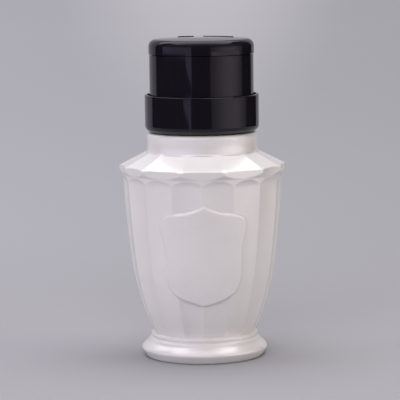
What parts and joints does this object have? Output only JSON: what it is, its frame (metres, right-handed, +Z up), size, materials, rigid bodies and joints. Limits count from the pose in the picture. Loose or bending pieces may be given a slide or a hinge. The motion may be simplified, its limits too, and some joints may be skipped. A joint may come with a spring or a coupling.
{
  "type": "pump bottle",
  "caption": "Press-pump oil bottle: fluted pearl-white body with a blank shield panel, black screw collar, turning press head with a dish and a flip-top lid",
  "frame": {"origin": "middle of the base ring, on the surface that the bottle stands on", "axes": "+Z up along the bottle's axis, the shield panel faces -Y, +X to the right when seen from the front"},
  "size_m": [0.068, 0.0656, 0.1297],
  "materials": {
    "bottle": "pearl white blown plastic",
    "collar": "gloss black moulded plastic",
    "head": "gloss black moulded plastic",
    "lid": "gloss black moulded plastic",
    "dish": "white moulded dish",
    "nozzle": "white moulded plastic",
    "pump_cylinder": "natural polyethylene",
    "stem": "natural polyethylene",
    "stem_guide": "natural polyethylene",
    "ball_retainer": "natural polyethylene",
    "dip_tube": "natural polyethylene",
    "piston": "natural polyethylene",
    "neck_gasket": "soft seal",
    "lid_seal": "soft seal",
    "return_spring": "stainless steel",
    "inlet_ball": "stainless steel",
    "outlet_ball": "stainless steel",
    "hinge_pin": "stainless steel"
  },
  "bodies": {
    "bottle": {"bottle": "bottle"},
    "pump_unit": {"pump_cylinder": "pump_cylinder", "neck_gasket": "neck_gasket", "stem_guide": "stem_guide", "ball_retainer": "ball_retainer", "dip_tube": "dip_tube"},
    "collar": {"collar": "collar"},
    "plunger": {"stem": "stem", "piston": "piston", "return_spring": "return_spring"},
    "head": {"head": "head", "dish": "dish", "nozzle": "nozzle", "hinge_pin": "hinge_pin"},
    "lid": {"lid": "lid", "lid_seal": "lid_seal"},
    "inlet_ball": {"inlet_ball": "inlet_ball"},
    "outlet_ball": {"outlet_ball": "outlet_ball"}
  },
  "joints": [
    {"name": "pump_lift", "type": "slide", "parent": "bottle", "child": "pump_unit", "axis": [0, 0, 1], "range_m": [0, 0.1]},
    {"name": "collar_turn", "type": "hinge", "parent": "pump_unit", "child": "collar", "pos_m": [0, 0, 0.1], "axis": [0, 0, 1], "range_deg": [0, 450]},
    {"name": "head_press", "type": "slide", "parent": "pump_unit", "child": "plunger", "axis": [0, 0, -1], "range_m": [0, 0.008], "stiffness_N_per_m": 400, "springref_m": -0.01, "deforming": ["return_spring"]},
    {"name": "head_turn", "type": "hinge", "parent": "plunger", "child": "head", "pos_m": [0, 0, 0.1], "axis": [0, 0, 1], "range_deg": [-28, 62]},
    {"name": "lid_flip", "type": "hinge", "parent": "head", "child": "lid", "pos_m": [-0.01028, 0.01934, 0.12335], "axis": [-0.8829, -0.4695, 0], "range_deg": [0, 115]},
    {"name": "inlet_valve", "type": "slide", "parent": "pump_unit", "child": "inlet_ball", "axis": [0, 0, 1], "range_m": [0, 0.0012]},
    {"name": "outlet_valve", "type": "slide", "parent": "head", "child": "outlet_ball", "axis": [0, 0, 1], "range_m": [0, 0.0006]}
  ]
}
